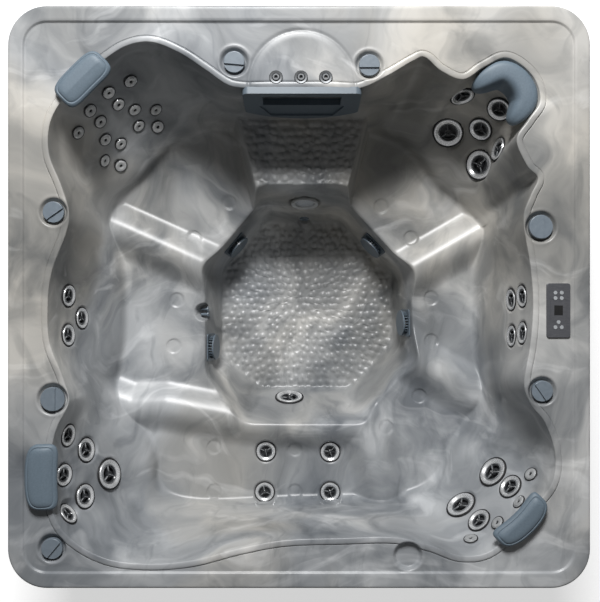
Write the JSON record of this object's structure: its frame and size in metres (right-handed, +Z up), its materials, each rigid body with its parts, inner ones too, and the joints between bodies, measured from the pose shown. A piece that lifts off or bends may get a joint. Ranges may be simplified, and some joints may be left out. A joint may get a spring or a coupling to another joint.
{
  "type": "hot tub",
  "caption": "Square outdoor hot tub: moulded marbled shell with contoured seats, footwell, jets, pillows, control panel, filter bay and slatted cabinet.",
  "frame": {"origin": "centre of the underside of the base, on the floor", "axes": "+Z up, +Y towards the rear side with the filter bay, +X towards the side with the control panel"},
  "size_m": [2.235, 2.235, 0.9506],
  "materials": {
    "acrylic": "high gloss, marbled pale grey with blue-grey and beige clouds",
    "cabinet_panel": "satin slatted composite",
    "cabinet_corner": "satin",
    "pan": "satin",
    "timber": "sawn, treated",
    "pillow": "matt skinned foam",
    "slate_plastic": "satin",
    "knob": "satin",
    "jet_ring": "polished",
    "jet_face": "gloss",
    "inner_fitting": "satin",
    "jet_body": "satin",
    "filter_well": "satin",
    "pipe": "satin",
    "panel_plate": "brushed look",
    "screen": "gloss",
    "button": "satin",
    "lens": "clear",
    "filter_media": "pleated",
    "motor": "satin",
    "pump_plastic": "satin",
    "heater_steel": "brushed",
    "box_metal": "satin",
    "screw": "satin"
  },
  "bodies": {
    "tub": {"acrylic_shell": "acrylic", "base_pan": "pan", "cabinet_frame": "timber", "cabinet_corners": "cabinet_corner", "panel_front": "cabinet_panel", "panel_rear": "cabinet_panel", "panel_left": "cabinet_panel", "panel_right": "cabinet_panel", "panel_screws": "screw", "footwell_sleepers": "timber", "pillow_rear_left": "pillow", "pillow_rear_right": "pillow", "pillow_front_left": "pillow", "pillow_front_right": "pillow", "filter_housing": "slate_plastic", "filter_canister": "filter_well", "filter_cartridge": "filter_media", "control_housing": "panel_plate", "control_display": "screen", "knob_valve_bodies": "inner_fitting", "jet_rings": "jet_ring", "jet_faces_fixed": "jet_face", "jet_bodies": "jet_body", "suction_covers": "slate_plastic", "suction_bodies": "inner_fitting", "light_housing": "slate_plastic", "light_lens": "lens", "return_fittings": "slate_plastic", "fountain_nozzles": "jet_ring", "pump_motors": "motor", "pump_wet_ends": "pump_plastic", "heater": "heater_steel", "control_box": "box_metal", "water_manifolds": "pipe", "water_pipes": "pipe", "drain_valve_body": "pump_plastic", "power_inlet": "pump_plastic"},
    "air_knob_rear_left_body": {"air_knob_rear_left": "knob"},
    "air_knob_rear_right_body": {"air_knob_rear_right": "knob"},
    "air_knob_left_body": {"air_knob_left": "knob"},
    "air_knob_right_body": {"air_knob_right": "knob"},
    "air_knob_front_left_body": {"air_knob_front_left": "knob"},
    "diverter_knob_right_body": {"diverter_knob_right": "knob"},
    "diverter_knob_left_body": {"diverter_knob_left": "knob"},
    "panel_button_1_body": {"panel_button_1": "button"},
    "panel_button_2_body": {"panel_button_2": "button"},
    "panel_button_3_body": {"panel_button_3": "button"},
    "panel_button_4_body": {"panel_button_4": "button"},
    "panel_button_5_body": {"panel_button_5": "button"},
    "panel_button_6_body": {"panel_button_6": "button"},
    "panel_button_7_body": {"panel_button_7": "button"},
    "weir_door_body": {"weir_door": "slate_plastic"},
    "drain_valve_cap_body": {"drain_valve_cap": "pump_plastic"},
    "pump_rotor_1_body": {"pump_rotor_1": "pump_plastic"},
    "pump_rotor_2_body": {"pump_rotor_2": "pump_plastic"},
    "jet_face_rear_right_inner_body": {"jet_face_rear_right_inner": "jet_face"},
    "jet_face_rear_right_outer_body": {"jet_face_rear_right_outer": "jet_face"},
    "jet_face_front_left_body": {"jet_face_front_left": "jet_face"},
    "jet_face_front_right_outer_body": {"jet_face_front_right_outer": "jet_face"},
    "jet_face_front_right_inner_body": {"jet_face_front_right_inner": "jet_face"}
  },
  "joints": [
    {"name": "air_knob_rear_left_turn", "type": "hinge", "parent": "tub", "child": "air_knob_rear_left_body", "pos_m": [-0.2492, 0.90294, 0.889], "axis": [0, 0, 1], "range_deg": [0, 180]},
    {"name": "air_knob_rear_right_turn", "type": "hinge", "parent": "tub", "child": "air_knob_rear_right_body", "pos_m": [0.27043, 0.89065, 0.889], "axis": [0, 0, 1], "range_deg": [0, 180]},
    {"name": "air_knob_left_turn", "type": "hinge", "parent": "tub", "child": "air_knob_left_body", "pos_m": [-0.94317, 0.32631, 0.889], "axis": [0, 0, 1], "range_deg": [0, 180]},
    {"name": "air_knob_right_turn", "type": "hinge", "parent": "tub", "child": "air_knob_right_body", "pos_m": [0.93423, -0.36095, 0.889], "axis": [0, 0, 1], "range_deg": [0, 180]},
    {"name": "air_knob_front_left_turn", "type": "hinge", "parent": "tub", "child": "air_knob_front_left_body", "pos_m": [-0.94876, -0.96552, 0.889], "axis": [0, 0, 1], "range_deg": [0, 180]},
    {"name": "diverter_knob_right_turn", "type": "hinge", "parent": "tub", "child": "diverter_knob_right_body", "pos_m": [0.92864, 0.26932, 0.889], "axis": [0, 0, 1], "range_deg": [-90, 90]},
    {"name": "diverter_knob_left_turn", "type": "hinge", "parent": "tub", "child": "diverter_knob_left_body", "pos_m": [-0.94652, -0.39224, 0.889], "axis": [0, 0, 1], "range_deg": [-90, 90]},
    {"name": "panel_button_1_press", "type": "slide", "parent": "tub", "child": "panel_button_1_body", "axis": [0, 0, -1], "range_m": [0, 0.0008], "stiffness_N_per_m": 1000, "springref_m": -0.0003},
    {"name": "panel_button_2_press", "type": "slide", "parent": "tub", "child": "panel_button_2_body", "axis": [0, 0, -1], "range_m": [0, 0.0008], "stiffness_N_per_m": 1000, "springref_m": -0.0003},
    {"name": "panel_button_3_press", "type": "slide", "parent": "tub", "child": "panel_button_3_body", "axis": [0, 0, -1], "range_m": [0, 0.0008], "stiffness_N_per_m": 1000, "springref_m": -0.0003},
    {"name": "panel_button_4_press", "type": "slide", "parent": "tub", "child": "panel_button_4_body", "axis": [0, 0, -1], "range_m": [0, 0.0008], "stiffness_N_per_m": 1000, "springref_m": -0.0003},
    {"name": "panel_button_5_press", "type": "slide", "parent": "tub", "child": "panel_button_5_body", "axis": [0, 0, -1], "range_m": [0, 0.0008], "stiffness_N_per_m": 1000, "springref_m": -0.0003},
    {"name": "panel_button_6_press", "type": "slide", "parent": "tub", "child": "panel_button_6_body", "axis": [0, 0, -1], "range_m": [0, 0.0008], "stiffness_N_per_m": 1000, "springref_m": -0.0003},
    {"name": "panel_button_7_press", "type": "slide", "parent": "tub", "child": "panel_button_7_body", "axis": [0, 0, -1], "range_m": [0, 0.0008], "stiffness_N_per_m": 1000, "springref_m": -0.0003},
    {"name": "weir_door_swing", "type": "hinge", "parent": "tub", "child": "weir_door_body", "pos_m": [0.01117, 0.80435, 0.78008], "axis": [-1, 0, 0], "range_deg": [0, 60]},
    {"name": "drain_valve_turn", "type": "hinge", "parent": "tub", "child": "drain_valve_cap_body", "pos_m": [1.094, -0.4, 0.085], "axis": [1, 0, 0], "range_deg": [0, 90]},
    {"name": "pump_rotor_1_spin", "type": "hinge", "parent": "tub", "child": "pump_rotor_1_body", "pos_m": [0.69, -0.15, 0.115], "axis": [0, 1, 0], "continuous": true},
    {"name": "pump_rotor_2_spin", "type": "hinge", "parent": "tub", "child": "pump_rotor_2_body", "pos_m": [0.9, -0.15, 0.115], "axis": [0, 1, 0], "continuous": true},
    {"name": "jet_face_rear_right_inner_turn", "type": "hinge", "parent": "tub", "child": "jet_face_rear_right_inner_body", "pos_m": [0.64189, 0.70897, 0.52135], "axis": [-0.2235, -0.5467, 0.807], "range_deg": [0, 90]},
    {"name": "jet_face_rear_right_outer_turn", "type": "hinge", "parent": "tub", "child": "jet_face_rear_right_outer_body", "pos_m": [0.77687, 0.56752, 0.53028], "axis": [-0.669, -0.1361, 0.7307], "range_deg": [0, 90]},
    {"name": "jet_face_front_left_turn", "type": "hinge", "parent": "tub", "child": "jet_face_front_left_body", "pos_m": [-0.80271, -0.74761, 0.59048], "axis": [0.8469, 0.16, 0.507], "range_deg": [0, 90]},
    {"name": "jet_face_front_right_outer_turn", "type": "hinge", "parent": "tub", "child": "jet_face_front_right_outer_body", "pos_m": [0.81349, -0.73281, 0.61833], "axis": [-0.7091, 0.5643, 0.4227], "range_deg": [0, 90]},
    {"name": "jet_face_front_right_inner_turn", "type": "hinge", "parent": "tub", "child": "jet_face_front_right_inner_body", "pos_m": [0.6847, -0.8784, 0.59072], "axis": [-0.5245, 0.7771, 0.3479], "range_deg": [0, 90]}
  ]
}
